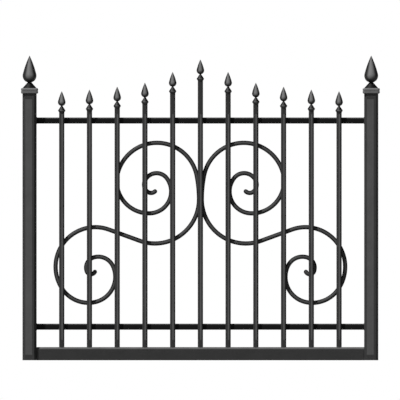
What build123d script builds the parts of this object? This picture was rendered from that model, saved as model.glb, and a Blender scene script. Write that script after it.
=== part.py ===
from build123d import *
from math import acos, degrees
import os

# Wrought iron fence panel: two square posts, eleven pickets that rise to the middle, three
# rails and a pair of mirrored scrolls behind the pickets.
# Lengths are in millimetres. X runs along the fence, Y from the front to the back, Z is up.
# The origin is the middle of the left post's foot, on the ground.

# Setting out along the fence
picket_count = 11
picket_gap = 81.0

# Posts: hollow square section with broad chamfers
post_size = 51.0
post_chamfer = 9.0
post_wall = 4.0
post_foot_thickness = 8.0
post_top = 961.5

# Post caps: bullnosed plates with a groove all round, and a spigot inside the post
cap_size = 62.0
cap_corner = 8.0
cap_height = 20.0
cap_bullnose = 4.0
cap_groove_height = 2.0
cap_groove_depth = 1.5
cap_spigot_depth = 14.0
cap_spigot_clearance = 0.5

# Post finials: a cone and a drop
post_cone_radius = 25.5
post_waist_radius = 7.0
post_drop_radius = 25.0
post_drop_centre = 44.5
post_finial_height = 117.5

# Pickets: flat bar with bevelled edges
picket_width = 19.0
picket_depth = 14.0
picket_bevel = 4.0

# Each picket's top above the top rail, from the middle picket outwards
picket_rises = [132.5, 87.5, 49.0, 34.5, 24.0, 18.0]

# Picket finials: a flared collar and a drop
collar_foot_radius = 9.5
collar_radius = 13.75
collar_rim_height = 7.0
collar_rim_rounding = 2.0
picket_waist_radius = 3.0
picket_drop_radius = 13.75
picket_drop_centre = 37.0
picket_finial_height = 77.0

# How far past its widest place a drop stays round, before its flank runs to the tip
drop_shoulder_angle = 14.0

# Top rail and lower rail: solid bars behind the pickets
rail_height = 22.0
rail_depth = 8.0
rail_rounding = 1.5
top_rail_bottom = 853.5
lower_rail_bottom = 110.0

# Bottom rail: hollow section that the pickets stand on, with bevelled top edges
bottom_rail_height = 47.5
bottom_rail_bevel_depth = 6.0
bottom_rail_bevel_height = 7.0
bottom_rail_foot_bevel = 2.5
bottom_rail_wall = 3.0

# How far the pickets' line lies behind the posts' line
picket_setback = 1.0

# Scrolls: round bar in a plane behind the pickets. The pair is ground flat where the bars
# meet, at scroll_contact_drop under the top rail.
scroll_bar = 16.0
scroll_contact_drop = 273.5
scroll_flat = 3.0

# Arcs of the left scroll, each a radius and the degrees that it turns. The upper coil runs
# up from the contact. The lower part turns back, runs straight and winds into its own coil.
upper_coil = [
    (450.0, 11.0),
    (146.0, 154.0),
    (116.0, 107.0),
    (79.0, 125.0),
    (46.0, 122.0),
    (33.0, 70.0),
    (21.0, 84.0),
]
scroll_shoulder = (159.0, 110.0)
scroll_link = 119.0
lower_coil = [
    (143.0, 144.0),
    (113.0, 68.0),
    (93.0, 103.0),
    (58.0, 80.0),
    (39.0, 94.0),
    (16.0, 133.0),
]

# Places that follow from the sizes
clear_width = (picket_count + 1) * picket_gap + picket_count * picket_width
post_spacing = clear_width + post_size
middle_x = post_spacing / 2
rail_start = post_size / 2
rail_end = post_spacing - post_size / 2
picket_pitch = picket_gap + picket_width
picket_back = picket_setback + picket_depth / 2
top_rail_top = top_rail_bottom + rail_height
bottom_rail_depth = picket_depth + 2 * bottom_rail_bevel_depth
cap_top = post_top + cap_height
scroll_radius = scroll_bar / 2
scroll_plane_y = picket_back + scroll_radius
scroll_contact_x = middle_x - scroll_radius + scroll_flat
scroll_contact_z = top_rail_bottom - scroll_contact_drop

os.makedirs("parts", exist_ok=True)


def save(piece, name):
    """Name a finished piece and write its file."""
    piece.part.label = name
    export_step(piece.part, f"parts/{name}.step")


def drop_outline(waist_radius, radius, centre, height):
    """Draw half a drop from its waist up to its tip, in the open line builder."""
    waist_angle = -degrees(acos(waist_radius / radius))
    bowl = CenterArc((0, centre), radius, waist_angle, drop_shoulder_angle - waist_angle)
    flank_control = bowl @ 1 + (bowl % 1) * (height - centre) / 2
    Bezier(bowl @ 1, flank_control, (0, height))
    return bowl @ 0


def standing_plane(x, y, z):
    """An upright plane facing the front, with its origin at a point on a turned piece's axis."""
    return Plane(origin=(x, y, z), x_dir=(1, 0, 0), z_dir=(0, -1, 0))


def make_post(side, x):
    """One post as a tube, with the plate that closes its foot."""
    with BuildPart() as post:
        with BuildSketch(Plane.XY.offset(post_foot_thickness)) as section:
            with Locations((x, 0)):
                Rectangle(post_size, post_size)
            chamfer(section.vertices(), post_chamfer)
            offset(amount=-post_wall, kind=Kind.INTERSECTION, mode=Mode.SUBTRACT)
        extrude(amount=post_top - post_foot_thickness)
    save(post, f"post_{side}")

    with BuildPart() as foot:
        with BuildSketch() as plate:
            with Locations((x, 0)):
                Rectangle(post_size, post_size)
            chamfer(plate.vertices(), post_chamfer)
        extrude(amount=post_foot_thickness)
    save(foot, f"post_foot_{side}")


def make_post_cap(side, x):
    """A bullnosed plate with a groove all round, and a spigot that fits inside the post."""
    groove_bottom = post_top + (cap_height - cap_groove_height) / 2
    with BuildPart() as cap:
        with BuildSketch(Plane.XY.offset(post_top)):
            with Locations((x, 0)):
                RectangleRounded(cap_size, cap_size, cap_corner)
        extrude(amount=cap_height)
        fillet(cap.edges().filter_by(Plane.XY), cap_bullnose)
        with BuildSketch(Plane.XY.offset(groove_bottom)):
            with Locations((x, 0)):
                RectangleRounded(cap_size, cap_size, cap_corner)
            offset(amount=-cap_groove_depth, mode=Mode.SUBTRACT)
        extrude(amount=cap_groove_height, mode=Mode.SUBTRACT)
        with BuildSketch(Plane.XY.offset(post_top)) as spigot:
            with Locations((x, 0)):
                Rectangle(post_size, post_size)
            chamfer(spigot.vertices(), post_chamfer)
            inset = post_wall + cap_spigot_clearance
            offset(amount=-inset, kind=Kind.INTERSECTION, mode=Mode.REPLACE)
        extrude(amount=-cap_spigot_depth)
    save(cap, f"post_cap_{side}")


def make_post_finial(side, x):
    """A cone that narrows to a waist, and a drop above it."""
    with BuildPart() as finial:
        with BuildSketch(standing_plane(x, 0, cap_top)):
            with BuildLine():
                waist = drop_outline(post_waist_radius, post_drop_radius, post_drop_centre, post_finial_height)
                Polyline(waist, (post_cone_radius, 0), (0, 0), (0, post_finial_height))
            make_face()
        revolve(axis=Axis((x, 0, cap_top), (0, 0, 1)))
    save(finial, f"post_finial_{side}")


def make_picket(number, x, top):
    """One picket, standing on the bottom rail."""
    with BuildPart() as picket:
        with BuildSketch(Plane.XY.offset(bottom_rail_height)) as section:
            with Locations((x, picket_setback)):
                Rectangle(picket_width, picket_depth)
            chamfer(section.vertices(), picket_bevel)
        extrude(amount=top - bottom_rail_height)
    save(picket, f"picket_{number:02d}")


def make_picket_finial(number, x, top):
    """A flared collar with a rounded rim, a waist and a drop above it."""
    with BuildPart() as finial:
        with BuildSketch(standing_plane(x, picket_setback, top)) as half:
            with BuildLine():
                waist = drop_outline(
                    picket_waist_radius, picket_drop_radius, picket_drop_centre, picket_finial_height
                )
                rim = (collar_radius, collar_rim_height)
                Polyline(waist, rim, (collar_foot_radius, 0), (0, 0), (0, picket_finial_height))
            make_face()
            fillet(half.vertices().sort_by_distance(rim)[0], collar_rim_rounding)
        revolve(axis=Axis((x, picket_setback, top), (0, 0, 1)))
    save(finial, f"picket_finial_{number:02d}")


def make_rail(name, bottom):
    """One solid rail between the posts, against the backs of the pickets."""
    with BuildPart() as rail:
        with BuildSketch(Plane.YZ.offset(rail_start)) as section:
            with Locations((picket_back + rail_depth / 2, bottom + rail_height / 2)):
                Rectangle(rail_depth, rail_height)
            fillet(section.vertices(), rail_rounding)
        extrude(amount=rail_end - rail_start)
    save(rail, name)


def make_bottom_rail():
    """The hollow rail on the ground, with a bevel along each top edge and a small one below."""
    half = bottom_rail_depth / 2
    with BuildPart() as rail:
        with BuildSketch(Plane.YZ.offset(rail_start)):
            with Locations((picket_setback, 0)):
                Polygon(
                    (-half + bottom_rail_foot_bevel, 0),
                    (half - bottom_rail_foot_bevel, 0),
                    (half, bottom_rail_foot_bevel),
                    (half, bottom_rail_height - bottom_rail_bevel_height),
                    (half - bottom_rail_bevel_depth, bottom_rail_height),
                    (-half + bottom_rail_bevel_depth, bottom_rail_height),
                    (-half, bottom_rail_height - bottom_rail_bevel_height),
                    (-half, bottom_rail_foot_bevel),
                    align=None,
                )
            offset(amount=-bottom_rail_wall, kind=Kind.INTERSECTION, mode=Mode.SUBTRACT)
        extrude(amount=rail_end - rail_start)
    save(rail, "bottom_rail")


def make_scrolls():
    """Both scrolls: the left one from its arcs, and the right one mirrored from it."""
    contact = (scroll_contact_x, scroll_contact_z)
    with BuildPart() as left:
        with BuildLine(Plane.XZ.offset(-scroll_plane_y)) as route:
            point = contact
            heading = (0, 1)
            for radius, turn in upper_coil:
                arc = JernArc(point, heading, radius, turn)
                point = arc @ 1
                heading = arc % 1
            shoulder_radius, shoulder_turn = scroll_shoulder
            shoulder = JernArc(contact, (0, -1), shoulder_radius, -shoulder_turn)
            link = PolarLine(shoulder @ 1, scroll_link, direction=shoulder % 1)
            point = link @ 1
            heading = link % 1
            for radius, turn in lower_coil:
                arc = JernArc(point, heading, radius, turn)
                point = arc @ 1
                heading = arc % 1
        path = route.wire()
        with BuildSketch(Plane(origin=path @ 0, z_dir=path % 0)):
            Circle(scroll_radius)
        sweep(path=path)
        with Locations(path @ 0, path @ 1):
            Sphere(scroll_radius)
        split(bisect_by=Plane.YZ.offset(middle_x), keep=Keep.BOTTOM)
    save(left, "scroll_left")

    with BuildPart() as right:
        mirror(left.part, about=Plane.YZ.offset(middle_x))
    save(right, "scroll_right")


for side, x in (("left", 0.0), ("right", post_spacing)):
    make_post(side, x)
    make_post_cap(side, x)
    make_post_finial(side, x)

middle_picket = (picket_count - 1) / 2
for index in range(picket_count):
    x = middle_x + (index - middle_picket) * picket_pitch
    steps_out = min(round(abs(index - middle_picket)), len(picket_rises) - 1)
    top = top_rail_top + picket_rises[steps_out]
    make_picket(index + 1, x, top)
    make_picket_finial(index + 1, x, top)

make_rail("top_rail", top_rail_bottom)
make_rail("lower_rail", lower_rail_bottom)
make_bottom_rail()
make_scrolls()
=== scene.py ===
"""Wrought iron fence panel: the finish of its painted bars, the welds that join them and its studio."""

import math

import bmesh
import bpy
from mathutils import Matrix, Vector


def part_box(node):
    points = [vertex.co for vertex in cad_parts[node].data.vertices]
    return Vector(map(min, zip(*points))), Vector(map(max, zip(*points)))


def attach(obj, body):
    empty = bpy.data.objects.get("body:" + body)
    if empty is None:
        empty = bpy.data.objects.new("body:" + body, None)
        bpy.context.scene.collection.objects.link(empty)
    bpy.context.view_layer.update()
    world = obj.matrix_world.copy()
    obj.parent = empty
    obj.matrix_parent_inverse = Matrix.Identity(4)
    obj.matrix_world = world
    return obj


bl_info = {
    "name": "Wrought Iron Fence Panel",
    "version": (1, 0, 0),
    "blender": (4, 5, 0),
    "location": "View3D > Sidebar > Fence Panel",
    "description": "Paints and welds a wrought iron fence panel and lights it for a picture",
    "category": "Object",
}

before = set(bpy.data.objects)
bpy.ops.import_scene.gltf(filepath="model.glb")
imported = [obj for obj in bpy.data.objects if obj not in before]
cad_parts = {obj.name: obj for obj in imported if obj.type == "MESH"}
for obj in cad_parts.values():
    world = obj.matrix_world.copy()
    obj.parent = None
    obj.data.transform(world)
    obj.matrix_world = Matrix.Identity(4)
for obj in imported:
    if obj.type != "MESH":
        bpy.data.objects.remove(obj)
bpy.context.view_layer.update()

MM = 0.001

# Names of the panel's pieces
SIDES = ("left", "right")
PICKETS = sorted(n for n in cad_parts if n.startswith("picket_") and "finial" not in n)
PICKET_FINIALS = sorted(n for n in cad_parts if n.startswith("picket_finial"))
RAILS = ("top_rail", "lower_rail")

# The patches in the paint: their width, the stretch of the noise that makes them, how far they darken
# and lighten the colour, and how far they lower and raise the roughness
CLOUD_SIZE = 45 * MM
CLOUD_LOW = 0.3
CLOUD_HIGH = 0.7
DARKER = 0.9
LIGHTER = 1.1
SMOOTHER = 0.04
ROUGHER = 0.05

# The hammer's marks under the paint, and the paint's orange peel, whose spacing is a setting
HAMMER_MARK = 14 * MM
HAMMER_MARK_DEPTH = 0.4 * MM
PEEL_HEIGHT = 0.1 * MM
PEEL_STRENGTH = 0.1

# Roughness and specular level of each sheen
SATIN = (0.5, 0.2)
DULL_SATIN = (0.5, 0.15)
WORN_SATIN = (0.5, 0.1)
FLAT = (0.6, 0.05)

# How strongly the hammer's marks show: on posts and pickets, on rails and caps, on scrolls and finials,
# and on weld beads
DRAWN_MARKS = 0.03
ROLLED_MARKS = 0.1
FORGED_MARKS = 0.15
NO_MARKS = 0.0

# The painted highlight strip down a bar's faces: its shift from the bar's middle and half its width, how
# far it stops from a post's ends, which stay dark as painted shade, where it starts over the bottom rail
# and stops over the top rail on a picket, and how softly it ends
POST_HIGHLIGHT_SHIFT = -3.4 * MM
POST_HIGHLIGHT_HALF = 12.3 * MM
POST_HIGHLIGHT_MARGIN = 20 * MM
PICKET_HIGHLIGHT_SHIFT = 1.2 * MM
PICKET_HIGHLIGHT_HALF = 2.4 * MM
PICKET_HIGHLIGHT_FOOT = 26 * MM
PICKET_HIGHLIGHT_HEAD = 12 * MM
HIGHLIGHT_BLUR = 1 * MM

# How far down from a rail's top its painted highlight reaches, and how softly that ends
RAIL_HIGHLIGHT = 4 * MM
RAIL_HIGHLIGHT_BLUR = 1 * MM
SILL_HIGHLIGHT = 7 * MM
SILL_HIGHLIGHT_BLUR = 0.5 * MM

# On round pieces, the part of the surface's direction along Y past which the painted highlight starts
FINIAL_HIGHLIGHT_FROM = 0.7
SCROLL_HIGHLIGHT_FROM = 0.76

# The upward part of the surface's direction where the painted shade starts and where it is full, and its
# level
SHADE_SLOPE_FROM = 0.4
SHADE_SLOPE_FULL = 0.55
SLOPE_SHADE_LEVEL = 0.25

# A weld bead: its sides and least slices, how far a ripple swells, how blunt the bead's ends are and how
# small they end
BEAD_SIDES = 8
BEAD_LEAST_SLICES = 4
BEAD_SWELL = 0.16
BEAD_BLUNTNESS = 6
BEAD_END = 0.25

# Where the seams lie: in the groove behind a picket's bevel, across a picket's foot, across a rail's end
# and up the bottom rail's end
GROOVE_INSET = 1.6 * MM
GROOVE_DEPTH = 1.2 * MM
CROSSING_MARGIN = 3 * MM
PICKET_FOOT_MARGIN = 4 * MM
RAIL_END_MARGIN = 1.5 * MM
SILL_END_FOOT = 6 * MM
SILL_END_HEAD = 11 * MM

# Where a scroll touches a picket: how near its front comes, how far from the picket's middle it is
# looked for, and how far apart two contacts are. Then half a seam's length, and how far it lies past the
# contact and behind the picket.
CONTACT_NEAR = 0.6 * MM
CONTACT_REACH = 6 * MM
CONTACT_SPACING = 20 * MM
CONTACT_SEAM_HALF = 3.5 * MM
CONTACT_SEAM_GAP = 1 * MM

# Lamps: how far left of the front and how high each fill lamp stands, and how wide the lamps look
FRONT_LAMP = (math.radians(8), math.radians(12))
BACK_LAMP = (math.radians(155), math.radians(20))
SIDE_LAMP = (math.radians(-100), math.radians(15))
KEY_WIDTH = math.radians(3)
FILL_WIDTH = math.radians(25)

# The floor's width, its greys for bounced light and as seen, how far the camera stands and sees, and the
# part of a direction along Y past which the surround is white in the paint's sheen
FLOOR_SIZE = 40.0
FLOOR_BOUNCE = "#505050"
FLOOR_SEEN = "#b8b8b8"
CAMERA_DISTANCE = 4.0
CAMERA_REACH = 100.0
SHEEN_WHITE_FROM = 0.94


def middle(name):
    """The middle of a node's box."""
    low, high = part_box(name)
    return (low + high) / 2


# Places that follow from the frame
POST_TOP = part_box("post_left")[1].z
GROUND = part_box("post_foot_left")[0].z
POST_INNER_FACES = (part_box("post_left")[1].x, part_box("post_right")[0].x)
PANEL_MIDDLE = (middle("post_left").x + middle("post_right").x) / 2
PICKET_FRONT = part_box("picket_01")[0].y
PICKET_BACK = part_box("picket_01")[1].y
SILL_LOW, SILL_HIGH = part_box("bottom_rail")


class FinishSettings(bpy.types.PropertyGroup):
    """Colours of the paint, as sRGB hex values, and the size of its grain."""

    # The posts' paint, left dark at their ends as painted shade, and the painted highlight strip down their
    # faces
    post_edge: bpy.props.StringProperty(
        name="Post Edges", description="Paint along the posts' chamfers and ends", default="#2a2a2a"
    )
    post_highlight: bpy.props.StringProperty(
        name="Post Faces", description="Highlighted paint along the posts' faces", default="#454545"
    )
    picket: bpy.props.StringProperty(
        name="Pickets", description="Paint on the pickets", default="#262626"
    )
    # The pickets' painted highlight line down their faces
    picket_highlight: bpy.props.StringProperty(
        name="Picket Faces", description="Highlighted paint along the pickets' faces", default="#4a4a4a"
    )
    # The rails' flat black paint, darkened as painted shade behind the pickets
    rail: bpy.props.StringProperty(
        name="Rails", description="Dead flat paint on the top and lower rails", default="#111111"
    )
    # The rails' painted highlight along their upper edges
    rail_highlight: bpy.props.StringProperty(
        name="Rail Ledges", description="Highlighted paint along the rails' upper edges", default="#484848"
    )
    sill: bpy.props.StringProperty(
        name="Bottom Rail", description="Paint on the bottom rail", default="#272727"
    )
    # The painted highlight on the bottom rail's bevels
    sill_highlight: bpy.props.StringProperty(
        name="Bottom Rail Ledge", description="Highlighted paint on the bottom rail's bevels", default="#454545"
    )
    # The scrolls' painted highlight to the front and back, and painted shade on their sides
    scroll: bpy.props.StringProperty(
        name="Scrolls", description="Highlighted paint on the scrolls' fronts and backs", default="#404040"
    )
    scroll_shaded_side: bpy.props.StringProperty(
        name="Scroll Sides", description="Black paint on the scrolls' sides", default="#040404"
    )
    cap: bpy.props.StringProperty(
        name="Post Caps", description="Paint on the post caps", default="#606060"
    )
    # The finials' painted highlight to the front and back, and painted shade on their sides
    finial: bpy.props.StringProperty(
        name="Finials", description="Highlighted paint on the finials' fronts and backs", default="#646464"
    )
    finial_shaded_side: bpy.props.StringProperty(
        name="Finial Sides", description="Dark paint on the finials' sides", default="#1c1c1c"
    )
    grain: bpy.props.FloatProperty(
        name="Paint Grain", description="Spacing of the orange peel in the paint",
        default=1.6 * MM, min=0.2 * MM, unit="LENGTH"
    )


class WeldSettings(bpy.types.PropertyGroup):
    """Sizes of the weld beads."""

    leg: bpy.props.FloatProperty(
        name="Leg", description="Width of a weld bead", default=3.2 * MM, min=0.5 * MM, unit="LENGTH"
    )
    ripple: bpy.props.FloatProperty(
        name="Ripple", description="Length of one ripple of a weld bead",
        default=2.2 * MM, min=0.5 * MM, unit="LENGTH"
    )


class StudioSettings(bpy.types.PropertyGroup):
    """The camera's frame and the levels of the lights."""

    frame_width: bpy.props.FloatProperty(
        name="Frame Width", description="Width that the camera sees", default=1.4424, unit="LENGTH"
    )
    frame_middle_x: bpy.props.FloatProperty(
        name="Frame Middle", description="Middle of the frame, across from the panel's middle",
        default=-1.4 * MM, unit="LENGTH"
    )
    frame_middle_z: bpy.props.FloatProperty(
        name="Frame Height", description="Middle of the frame over the ground",
        default=0.5779, unit="LENGTH"
    )
    key_level: bpy.props.FloatProperty(
        name="Key Level", description="Strength of the light from the upper left", default=6.0, min=0.0
    )
    key_azimuth: bpy.props.FloatProperty(
        name="Key Azimuth", description="How far to the left of the front the key light stands",
        default=math.radians(50), subtype="ANGLE"
    )
    key_elevation: bpy.props.FloatProperty(
        name="Key Elevation", description="How high the key light stands",
        default=math.radians(52), subtype="ANGLE"
    )
    front_level: bpy.props.FloatProperty(
        name="Front Level", description="Strength of the light from the front", default=0.36, min=0.0
    )
    back_level: bpy.props.FloatProperty(
        name="Back Level", description="Strength of the light from behind", default=2.6, min=0.0
    )
    side_level: bpy.props.FloatProperty(
        name="Side Level", description="Strength of the light from the right", default=0.8, min=0.0
    )
    surround_level: bpy.props.FloatProperty(
        name="Surround Level", description="Strength of the light from all round", default=0.09, min=0.0
    )


def linear(hex_colour):
    """A linear colour with alpha from an sRGB hex value."""
    channels = [int(hex_colour[i : i + 2], 16) / 255 for i in (1, 3, 5)]
    return [c / 12.92 if c <= 0.04045 else ((c + 0.055) / 1.055) ** 2.4 for c in channels] + [1.0]


def node(tree, kind, inputs=None, **settings):
    """Add a node, set its properties, and feed its inputs, by name or place, from sockets or values."""
    made = tree.nodes.new(kind)
    for key, value in settings.items():
        setattr(made, key, value)
    for key, source in (inputs or {}).items():
        if isinstance(source, bpy.types.NodeSocket):
            tree.links.new(source, made.inputs[key])
        else:
            made.inputs[key].default_value = source
    return made


def new_material(name):
    """An empty node material, with its tree and its output node."""
    material = bpy.data.materials.new(name)
    material.use_nodes = True
    tree = material.node_tree
    tree.nodes.clear()
    return material, tree, node(tree, "ShaderNodeOutputMaterial")


def paint(tree, output, colour, sheen, forging):
    """Brushed alkyd paint over iron: a broad soft sheen, orange peel and faint hammer marks."""
    roughness, specular = sheen
    place = node(tree, "ShaderNodeTexCoord").outputs["Object"]
    grain = 1 / bpy.context.scene.fence_finish.grain
    cloud = node(tree, "ShaderNodeTexNoise", {"Vector": place, "Scale": 1 / CLOUD_SIZE, "Detail": 3.0})
    peel = node(tree, "ShaderNodeTexNoise", {"Vector": place, "Scale": grain, "Detail": 1.0})
    marks = node(
        tree, "ShaderNodeTexVoronoi", {"Vector": place, "Scale": 1 / HAMMER_MARK}, feature="SMOOTH_F1"
    )
    patchy = node(
        tree, "ShaderNodeMapRange",
        {
            "Value": cloud.outputs["Fac"], "From Min": CLOUD_LOW, "From Max": CLOUD_HIGH,
            "To Min": DARKER, "To Max": LIGHTER
        }
    )
    tinted = node(
        tree, "ShaderNodeVectorMath", {0: colour, "Scale": patchy.outputs["Result"]}, operation="SCALE"
    )
    gloss = node(
        tree, "ShaderNodeMapRange",
        {
            "Value": cloud.outputs["Fac"], "From Min": CLOUD_LOW, "From Max": CLOUD_HIGH,
            "To Min": roughness - SMOOTHER, "To Max": roughness + ROUGHER
        }
    )
    fine = node(
        tree, "ShaderNodeBump",
        {"Height": peel.outputs["Fac"], "Strength": PEEL_STRENGTH, "Distance": PEEL_HEIGHT}
    )
    broad = node(
        tree, "ShaderNodeBump",
        {
            "Height": marks.outputs["Distance"], "Strength": forging, "Distance": HAMMER_MARK_DEPTH,
            "Normal": fine.outputs["Normal"]
        }
    )
    shader = node(
        tree, "ShaderNodeBsdfPrincipled",
        {
            "Base Color": tinted.outputs["Vector"], "Roughness": gloss.outputs["Result"],
            "Normal": broad.outputs["Normal"], "Specular IOR Level": specular
        }
    )
    tree.links.new(shader.outputs["BSDF"], output.inputs["Surface"])


def two_tones(tree, mask, dark_hex, pale_hex):
    """The dark colour where the mask is black and the pale colour where it is white."""
    # Inputs 6 and 7 and output 2 of a mix node are its colours
    mixed = node(
        tree, "ShaderNodeMix", {0: mask, 6: linear(dark_hex), 7: linear(pale_hex)}, data_type="RGBA"
    )
    return mixed.outputs[2]


def plain_paint(name, hex_colour, sheen, forging):
    """One colour of paint all over."""
    material, tree, output = new_material(name)
    paint(tree, output, linear(hex_colour)[:3], sheen, forging)
    return material


def highlight_strip_paint(name, dark_hex, pale_hex, centre, half_width, half_length, sheen):
    """Paint with a painted highlight strip along a bar's four faces, dark along its edges and, as painted
    shade, at its ends.
    """
    material, tree, output = new_material(name)
    place = node(tree, "ShaderNodeTexCoord").outputs["Object"]
    shifted = node(tree, "ShaderNodeVectorMath", {0: place, 1: centre}, operation="SUBTRACT")
    away = node(tree, "ShaderNodeVectorMath", {0: shifted.outputs[0]}, operation="ABSOLUTE")
    parts = node(tree, "ShaderNodeSeparateXYZ", {0: away.outputs[0]}).outputs
    nearest = node(tree, "ShaderNodeMath", {0: parts["X"], 1: parts["Y"]}, operation="MINIMUM")
    strip = node(
        tree, "ShaderNodeMapRange",
        {
            "Value": nearest.outputs[0], "From Min": half_width - HIGHLIGHT_BLUR,
            "From Max": half_width + HIGHLIGHT_BLUR, "To Min": 1.0, "To Max": 0.0
        },
        interpolation_type="SMOOTHSTEP"
    )
    ends = node(
        tree, "ShaderNodeMapRange",
        {
            "Value": parts["Z"], "From Min": half_length - HIGHLIGHT_BLUR,
            "From Max": half_length + HIGHLIGHT_BLUR, "To Min": 1.0, "To Max": 0.0
        },
        interpolation_type="SMOOTHSTEP"
    )
    mask = node(
        tree, "ShaderNodeMath", {0: strip.outputs["Result"], 1: ends.outputs["Result"]},
        operation="MULTIPLY"
    )
    colour = two_tones(tree, mask.outputs[0], dark_hex, pale_hex)
    paint(tree, output, colour, sheen, DRAWN_MARKS)
    return material


def facing_highlight_paint(name, dark_hex, pale_hex, pale_from, sheen):
    """A painted highlight where a round piece faces front or back, painted shade at its sides and where it
    slopes up.
    """
    material, tree, output = new_material(name)
    normal = node(tree, "ShaderNodeTexCoord").outputs["Normal"]
    turned = node(tree, "ShaderNodeVectorMath", {0: normal}, operation="ABSOLUTE")
    facing = node(tree, "ShaderNodeSeparateXYZ", {0: turned.outputs[0]}).outputs["Y"]
    mask = node(
        tree, "ShaderNodeMapRange", {"Value": facing, "From Min": pale_from, "From Max": 1.0},
        interpolation_type="SMOOTHSTEP"
    )
    slope = node(tree, "ShaderNodeSeparateXYZ", {0: normal}).outputs["Z"]
    # Painted shade where the surface slopes up, darkest on the finials' cones
    slope_shade = node(
        tree, "ShaderNodeMapRange",
        {"Value": slope, "From Min": SHADE_SLOPE_FROM, "From Max": SHADE_SLOPE_FULL, "To Min": 1.0, "To Max": SLOPE_SHADE_LEVEL},
        interpolation_type="SMOOTHSTEP"
    )
    unshaded = two_tones(tree, mask.outputs["Result"], dark_hex, pale_hex)
    colour = node(
        tree, "ShaderNodeVectorMath", {0: unshaded, "Scale": slope_shade.outputs["Result"]}, operation="SCALE"
    )
    paint(tree, output, colour.outputs["Vector"], sheen, FORGED_MARKS)
    return material


def top_highlight_paint(name, dark_hex, pale_hex, pale_above, blur, sheen):
    """Paint with a painted highlight along a rail's upper edge."""
    material, tree, output = new_material(name)
    place = node(tree, "ShaderNodeTexCoord").outputs["Object"]
    height = node(tree, "ShaderNodeSeparateXYZ", {0: place}).outputs["Z"]
    mask = node(
        tree, "ShaderNodeMapRange",
        {"Value": height, "From Min": pale_above - blur, "From Max": pale_above + blur},
        interpolation_type="SMOOTHSTEP"
    )
    colour = two_tones(tree, mask.outputs["Result"], dark_hex, pale_hex)
    paint(tree, output, colour, sheen, ROLLED_MARKS)
    return material


def dress(name, material):
    """Give one CAD node its material."""
    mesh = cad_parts[name].data
    mesh.materials.clear()
    mesh.materials.append(material)


def deselect_all():
    """Leave nothing selected, so that an operator acts only on what is added or chosen next."""
    bpy.ops.object.select_all(action="DESELECT")


class FENCE_OT_paint_posts(bpy.types.Operator):
    """Paint the posts, their feet, their caps and their finials"""

    bl_idname = "fence.paint_posts"
    bl_label = "Paint Posts"

    def execute(self, context):
        finish = context.scene.fence_finish
        # Satin paint on pressed steel caps: a paler grey than the posts', which sets the caps off
        cap = plain_paint("satin_paint_on_pressed_caps", finish.cap, SATIN, ROLLED_MARKS)
        # Satin paint on cast drops: a painted highlight to the front, painted shade round the sides and
        # darker on the cones
        finial = facing_highlight_paint(
            "satin_paint_on_cast_drops", finish.finial_shaded_side, finish.finial, FINIAL_HIGHLIGHT_FROM, DULL_SATIN
        )
        half_height = (POST_TOP - GROUND) / 2
        for side in SIDES:
            place = middle(f"post_{side}")
            centre = Vector((place.x + POST_HIGHLIGHT_SHIFT, place.y, GROUND + half_height))
            # Paint on square steel tube: a painted highlight strip down each face, between darker edges,
            # and painted shade at the post's ends
            post = highlight_strip_paint(
                f"paint_with_highlight_on_{side}_post", finish.post_edge, finish.post_highlight, centre,
                POST_HIGHLIGHT_HALF, half_height - POST_HIGHLIGHT_MARGIN, SATIN
            )
            dress(f"post_{side}", post)
            dress(f"post_foot_{side}", post)
            dress(f"post_cap_{side}", cap)
            dress(f"post_finial_{side}", finial)
        return {"FINISHED"}


class FENCE_OT_paint_pickets(bpy.types.Operator):
    """Paint the pickets and their finials"""

    bl_idname = "fence.paint_pickets"
    bl_label = "Paint Pickets"

    def execute(self, context):
        finish = context.scene.fence_finish
        # Satin paint on turned drops: a painted highlight to the front, painted shade round the sides
        finial = facing_highlight_paint(
            "satin_paint_on_turned_drops", finish.finial_shaded_side, finish.finial, FINIAL_HIGHLIGHT_FROM, DULL_SATIN
        )
        low = SILL_HIGH.z + PICKET_HIGHLIGHT_FOOT
        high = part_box("top_rail")[1].z + PICKET_HIGHLIGHT_HEAD
        for name in PICKETS:
            place = middle(name)
            centre = Vector((place.x + PICKET_HIGHLIGHT_SHIFT, place.y, (low + high) / 2))
            # Paint on drawn bar: a thin painted highlight line down each face, and darker bevels beside it
            picket = highlight_strip_paint(
                f"paint_with_highlight_on_{name}", finish.picket, finish.picket_highlight, centre,
                PICKET_HIGHLIGHT_HALF, (high - low) / 2, SATIN
            )
            dress(name, picket)
        for name in PICKET_FINIALS:
            dress(name, finial)
        return {"FINISHED"}


class FENCE_OT_paint_rails(bpy.types.Operator):
    """Paint the top rail, the lower rail and the bottom rail"""

    bl_idname = "fence.paint_rails"
    bl_label = "Paint Rails"

    def execute(self, context):
        finish = context.scene.fence_finish
        for name in RAILS:
            pale_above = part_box(name)[1].z - RAIL_HIGHLIGHT
            # Flat black paint on rolled bar: nearly no sheen, darkened as painted shade behind the pickets,
            # with a thin painted highlight line along the top
            rail = top_highlight_paint(
                f"flat_black_paint_on_{name}", finish.rail, finish.rail_highlight, pale_above,
                RAIL_HIGHLIGHT_BLUR, FLAT
            )
            dress(name, rail)
        # Satin paint on the hollow bottom rail: dark faces under a painted highlight on its bevels
        sill = top_highlight_paint(
            "satin_paint_on_bottom_rail", finish.sill, finish.sill_highlight, SILL_HIGH.z - SILL_HIGHLIGHT,
            SILL_HIGHLIGHT_BLUR, SATIN
        )
        dress("bottom_rail", sill)
        return {"FINISHED"}


class FENCE_OT_paint_scrolls(bpy.types.Operator):
    """Paint the scrolls"""

    bl_idname = "fence.paint_scrolls"
    bl_label = "Paint Scrolls"

    def execute(self, context):
        finish = context.scene.fence_finish
        # Satin paint on forged round bar: a painted highlight line along the middle, and painted shade on
        # the sides
        scroll = facing_highlight_paint(
            "satin_paint_on_forged_scrolls", finish.scroll_shaded_side, finish.scroll, SCROLL_HIGHLIGHT_FROM,
            WORN_SATIN
        )
        for side in SIDES:
            dress(f"scroll_{side}", scroll)
        return {"FINISHED"}


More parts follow.
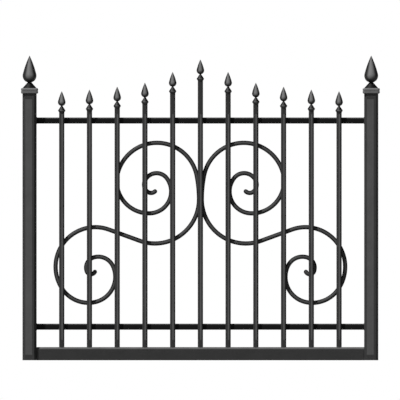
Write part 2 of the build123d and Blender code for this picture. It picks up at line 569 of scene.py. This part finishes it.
def model_bead(length):
    """One weld bead along X, a rippled ridge with rounded ends."""
    weld = bpy.context.scene.fence_weld
    # Two slices to a ripple, so that a cut lies at each crest and each hollow
    slices = max(BEAD_LEAST_SLICES, round(length / weld.ripple) * 2)
    deselect_all()
    bpy.ops.mesh.primitive_cylinder_add(
        vertices=BEAD_SIDES, radius=weld.leg / 2, depth=length, end_fill_type="NGON"
    )
    bead = bpy.context.object
    bpy.ops.object.mode_set(mode="EDIT")
    bpy.ops.mesh.select_all(action="SELECT")
    bpy.ops.transform.rotate(value=math.pi / 2, orient_axis="Y", center_override=(0, 0, 0))
    for cut in range(1, slices):
        bpy.ops.mesh.select_all(action="SELECT")
        bpy.ops.mesh.bisect(plane_co=(-length / 2 + length * cut / slices, 0, 0), plane_no=(1, 0, 0))
    mesh = bmesh.from_edit_mesh(bead.data)
    for vert in mesh.verts:
        along = (vert.co.x + length / 2) / length
        rounded = math.sqrt(max(0.0, 1 - (2 * along - 1) ** BEAD_BLUNTNESS))
        swell = 1 + BEAD_SWELL * math.cos(math.pi * slices * along)
        vert.co.y *= max(BEAD_END, rounded) * swell
        vert.co.z *= max(BEAD_END, rounded) * swell
    bmesh.update_edit_mesh(bead.data)
    bpy.ops.object.mode_set(mode="OBJECT")
    return bead


def lay_beads(name, seams, material):
    """Model a bead for each length of seam, copy it along the seams and join the copies into one piece."""
    models = {}
    beads = []
    for start, end in seams:
        run = end - start
        # Lengths that agree to a hundredth of a millimetre share a bead
        length = round(run.length, 5)
        if length in models:
            bead = models[length].copy()
            bead.data = models[length].data.copy()
            bpy.context.collection.objects.link(bead)
        else:
            bead = model_bead(length)
            models[length] = bead
        bead.rotation_mode = "QUATERNION"
        bead.rotation_quaternion = run.to_track_quat("X", "Z")
        bead.location = (start + end) / 2
        beads.append(bead)
    deselect_all()
    for bead in beads:
        bead.select_set(True)
    bpy.context.view_layer.objects.active = beads[0]
    bpy.ops.object.transform_apply(location=True, rotation=True, scale=True)
    bpy.ops.object.join()
    bpy.ops.object.shade_smooth()
    piece = bpy.context.object
    piece.name = name
    piece.data.name = name
    piece.data.materials.append(material)
    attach(piece, "root")


def rail_crossings():
    """Seams beside each picket, in the groove between its bevels and the rail behind it."""
    seams = []
    for rail in RAILS:
        low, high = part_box(rail)
        for picket in PICKETS:
            left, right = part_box(picket)
            for x in (left.x + GROOVE_INSET, right.x - GROOVE_INSET):
                y = PICKET_BACK - GROOVE_DEPTH
                start = Vector((x, y, low.z + CROSSING_MARGIN))
                seams.append((start, Vector((x, y, high.z - CROSSING_MARGIN))))
    return seams


def picket_feet():
    """Seams across the front and the back of each picket's foot."""
    seams = []
    for picket in PICKETS:
        left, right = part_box(picket)
        for y in (PICKET_FRONT, PICKET_BACK):
            start = Vector((left.x + PICKET_FOOT_MARGIN, y, SILL_HIGH.z))
            seams.append((start, Vector((right.x - PICKET_FOOT_MARGIN, y, SILL_HIGH.z))))
    return seams


def rail_ends():
    """Seams over and under each rail's ends, and up the front and the back of the bottom rail's ends."""
    seams = []
    for x in POST_INNER_FACES:
        for rail in RAILS:
            low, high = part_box(rail)
            for z in (low.z, high.z):
                start = Vector((x, low.y + RAIL_END_MARGIN, z))
                seams.append((start, Vector((x, high.y - RAIL_END_MARGIN, z))))
        for y in (SILL_LOW.y, SILL_HIGH.y):
            start = Vector((x, y, SILL_LOW.z + SILL_END_FOOT))
            seams.append((start, Vector((x, y, SILL_HIGH.z - SILL_END_HEAD))))
    return seams


def scroll_contacts():
    """Seams over and under each place where a scroll's front touches the back of a picket."""
    seams = []
    for side in SIDES:
        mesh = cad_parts[f"scroll_{side}"].data
        front = [v.co for v in mesh.vertices if v.co.y < PICKET_BACK + CONTACT_NEAR]
        for picket in PICKETS:
            x = middle(picket).x
            contacts = []
            for z in sorted(co.z for co in front if abs(co.x - x) < CONTACT_REACH):
                if contacts and z - contacts[-1][-1] < CONTACT_SPACING:
                    contacts[-1].append(z)
                else:
                    contacts.append([z])
            for heights in contacts:
                z = sum(heights) / len(heights)
                reach = max(CONTACT_SEAM_HALF, (heights[-1] - heights[0]) / 2) + CONTACT_SEAM_GAP
                for lift in (-reach, reach):
                    start = Vector((x - CONTACT_SEAM_HALF, PICKET_BACK + CONTACT_SEAM_GAP, z + lift))
                    seams.append((start, start + Vector((2 * CONTACT_SEAM_HALF, 0, 0))))
    return seams


class FENCE_OT_weld_bars(bpy.types.Operator):
    """Lay the weld beads that join the bars"""

    bl_idname = "fence.weld_bars"
    bl_label = "Weld Bars"

    def execute(self, context):
        finish = context.scene.fence_finish
        # Paint over weld beads, in the pickets' and the rails' colours: smooth, so that the ripples show
        painted = plain_paint("paint_over_weld_beads", finish.picket, DULL_SATIN, NO_MARKS)
        dark = plain_paint("flat_paint_over_rail_welds", finish.rail, FLAT, NO_MARKS)
        lay_beads("rail_crossing_welds", rail_crossings(), dark)
        lay_beads("rail_end_welds", rail_ends(), dark)
        lay_beads("picket_foot_welds", picket_feet(), painted)
        lay_beads("scroll_welds", scroll_contacts(), painted)
        return {"FINISHED"}


def make_floor():
    """A matt floor that takes the panel's shadow, pale as seen and darker for the light it bounces."""
    material, tree, output = new_material("pale_matt_floor")
    path = node(tree, "ShaderNodeLightPath").outputs
    direct = node(
        tree, "ShaderNodeMath", {0: path["Is Camera Ray"], 1: path["Is Glossy Ray"]}, operation="MAXIMUM"
    )
    seen = node(
        tree, "ShaderNodeMath", {0: direct.outputs[0], 1: path["Is Transmission Ray"]}, operation="MAXIMUM"
    )
    colour = two_tones(tree, seen.outputs[0], FLOOR_BOUNCE, FLOOR_SEEN)
    matt = node(tree, "ShaderNodeBsdfDiffuse", {"Color": colour})
    tree.links.new(matt.outputs["BSDF"], output.inputs["Surface"])
    deselect_all()
    bpy.ops.mesh.primitive_plane_add(size=FLOOR_SIZE, location=(PANEL_MIDDLE, 0, GROUND))
    floor = bpy.context.object
    floor.name = "floor"
    floor.data.materials.append(material)


def make_surround(level):
    """A dim grey surround. The camera sees it white, and the paint's sheen sees white behind the panel."""
    world = bpy.data.worlds.new("studio")
    bpy.context.scene.world = world
    world.use_nodes = True
    tree = world.node_tree
    tree.nodes.clear()
    path = node(tree, "ShaderNodeLightPath").outputs
    direction = node(tree, "ShaderNodeTexCoord").outputs["Generated"]
    depth = node(tree, "ShaderNodeSeparateXYZ", {0: direction}).outputs["Y"]
    behind = node(tree, "ShaderNodeMath", {0: depth, 1: SHEEN_WHITE_FROM}, operation="GREATER_THAN")
    mirrored = node(
        tree, "ShaderNodeMath", {0: path["Is Glossy Ray"], 1: behind.outputs[0]}, operation="MULTIPLY"
    )
    seen = node(
        tree, "ShaderNodeMath", {0: path["Is Camera Ray"], 1: path["Is Transmission Ray"]},
        operation="MAXIMUM"
    )
    white = node(
        tree, "ShaderNodeMath", {0: seen.outputs[0], 1: mirrored.outputs[0]}, operation="MAXIMUM"
    )
    dim = node(tree, "ShaderNodeBackground", {"Color": [level, level, level, 1.0], "Strength": 1.0})
    bright = node(tree, "ShaderNodeBackground", {"Color": [1.0, 1.0, 1.0, 1.0], "Strength": 1.0})
    mixed = node(
        tree, "ShaderNodeMixShader",
        {0: white.outputs[0], 1: dim.outputs["Background"], 2: bright.outputs["Background"]}
    )
    output = node(tree, "ShaderNodeOutputWorld")
    tree.links.new(mixed.outputs["Shader"], output.inputs["Surface"])


def add_sun(level, direction, width, shines):
    """A far lamp, left of the front and up by two angles. One that doesn't shine makes no highlight."""
    azimuth, elevation = direction
    across = math.cos(elevation)
    towards = Vector((-math.sin(azimuth) * across, -math.cos(azimuth) * across, math.sin(elevation)))
    bpy.ops.object.light_add(type="SUN")
    lamp = bpy.context.object
    lamp.data.energy = level
    lamp.data.angle = width
    lamp.visible_glossy = shines
    lamp.rotation_mode = "QUATERNION"
    lamp.rotation_quaternion = towards.to_track_quat("Z", "Y")


class FENCE_OT_stage(bpy.types.Operator):
    """Set up the floor, the surround, the lights and the camera"""

    bl_idname = "fence.stage"
    bl_label = "Set Stage"

    def execute(self, context):
        studio = context.scene.fence_studio
        make_floor()
        make_surround(studio.surround_level)
        deselect_all()
        add_sun(studio.key_level, (studio.key_azimuth, studio.key_elevation), KEY_WIDTH, True)
        add_sun(studio.front_level, FRONT_LAMP, FILL_WIDTH, True)
        add_sun(studio.back_level, BACK_LAMP, FILL_WIDTH, False)
        add_sun(studio.side_level, SIDE_LAMP, FILL_WIDTH, False)
        bpy.ops.object.camera_add(
            location=(PANEL_MIDDLE + studio.frame_middle_x, -CAMERA_DISTANCE, studio.frame_middle_z),
            rotation=(math.pi / 2, 0, 0)
        )
        camera = context.object
        camera.data.type = "ORTHO"
        camera.data.ortho_scale = studio.frame_width
        camera.data.clip_end = CAMERA_REACH
        context.scene.camera = camera
        context.scene.view_settings.view_transform = "Standard"
        return {"FINISHED"}


class FENCE_PT_panel(bpy.types.Panel):
    """Sizes, colours and steps of the fence panel"""

    bl_label = "Fence Panel"
    bl_idname = "FENCE_PT_panel"
    bl_space_type = "VIEW_3D"
    bl_region_type = "UI"
    bl_category = "Fence Panel"

    def draw(self, context):
        layout = self.layout
        for name, group in SETTINGS.items():
            box = layout.box()
            for setting in group.__annotations__:
                box.prop(getattr(context.scene, name), setting)
        for operator in OPERATORS:
            layout.operator(operator.bl_idname)


SETTINGS = {"fence_finish": FinishSettings, "fence_weld": WeldSettings, "fence_studio": StudioSettings}
OPERATORS = (
    FENCE_OT_paint_posts,
    FENCE_OT_paint_pickets,
    FENCE_OT_paint_rails,
    FENCE_OT_paint_scrolls,
    FENCE_OT_weld_bars,
    FENCE_OT_stage,
)


def register():
    """Register the settings, the operators and the panel."""
    for name, group in SETTINGS.items():
        bpy.utils.register_class(group)
        setattr(bpy.types.Scene, name, bpy.props.PointerProperty(type=group))
    for operator in OPERATORS:
        bpy.utils.register_class(operator)
    bpy.utils.register_class(FENCE_PT_panel)


def unregister():
    """Take away what register added."""
    bpy.utils.unregister_class(FENCE_PT_panel)
    for operator in reversed(OPERATORS):
        bpy.utils.unregister_class(operator)
    for name, group in SETTINGS.items():
        delattr(bpy.types.Scene, name)
        bpy.utils.unregister_class(group)


def main():
    register()
    bpy.ops.fence.paint_posts()
    bpy.ops.fence.paint_pickets()
    bpy.ops.fence.paint_rails()
    bpy.ops.fence.paint_scrolls()
    bpy.ops.fence.weld_bars()
    bpy.ops.fence.stage()


if __name__ == "__main__":
    main()
